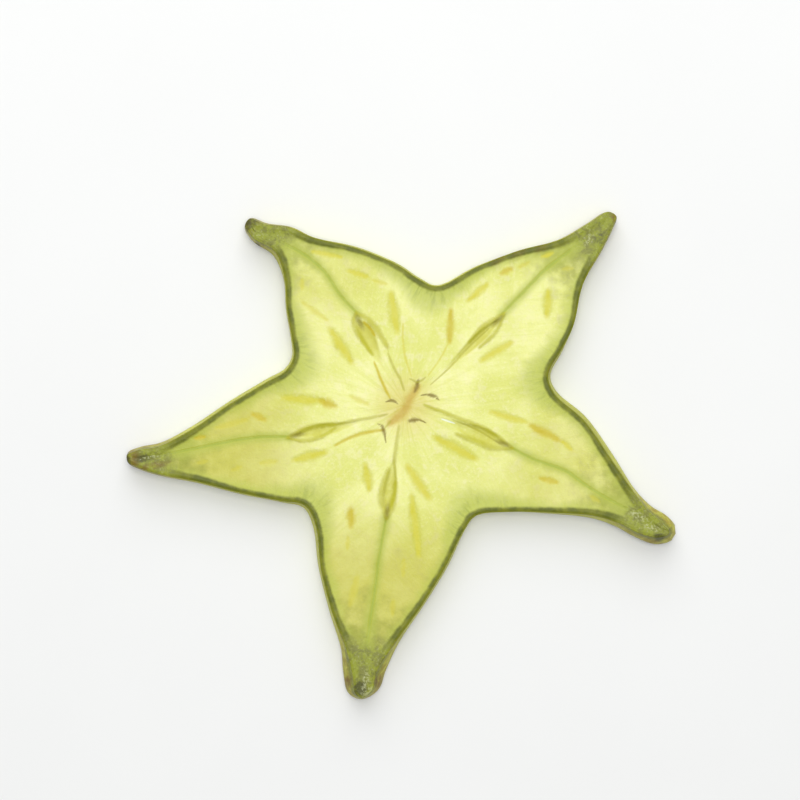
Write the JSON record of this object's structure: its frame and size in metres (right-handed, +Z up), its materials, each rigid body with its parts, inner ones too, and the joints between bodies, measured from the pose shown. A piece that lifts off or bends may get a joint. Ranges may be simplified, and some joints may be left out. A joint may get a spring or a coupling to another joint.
{
  "type": "star fruit slice",
  "caption": "Thin cross-cut slice of star fruit: a five-ribbed star of wet pale flesh with seed chambers round its core, edged by waxy green peel.",
  "frame": {"origin": "middle of the core, on the flat lower cut face", "axes": "+Z up through the slice from the lower to the upper cut face; +X to the side of the longest span across the ribs; +Y to the side of the two upper ribs"},
  "size_m": [0.0746, 0.0662, 0.0049],
  "materials": {
    "flesh": "moist translucent pale yellow-green flesh with fine fibres and amber bundles, edged by waxy olive-green peel"
  },
  "bodies": {
    "root": {"star_fruit_slice": "flesh"}
  },
  "joints": []
}
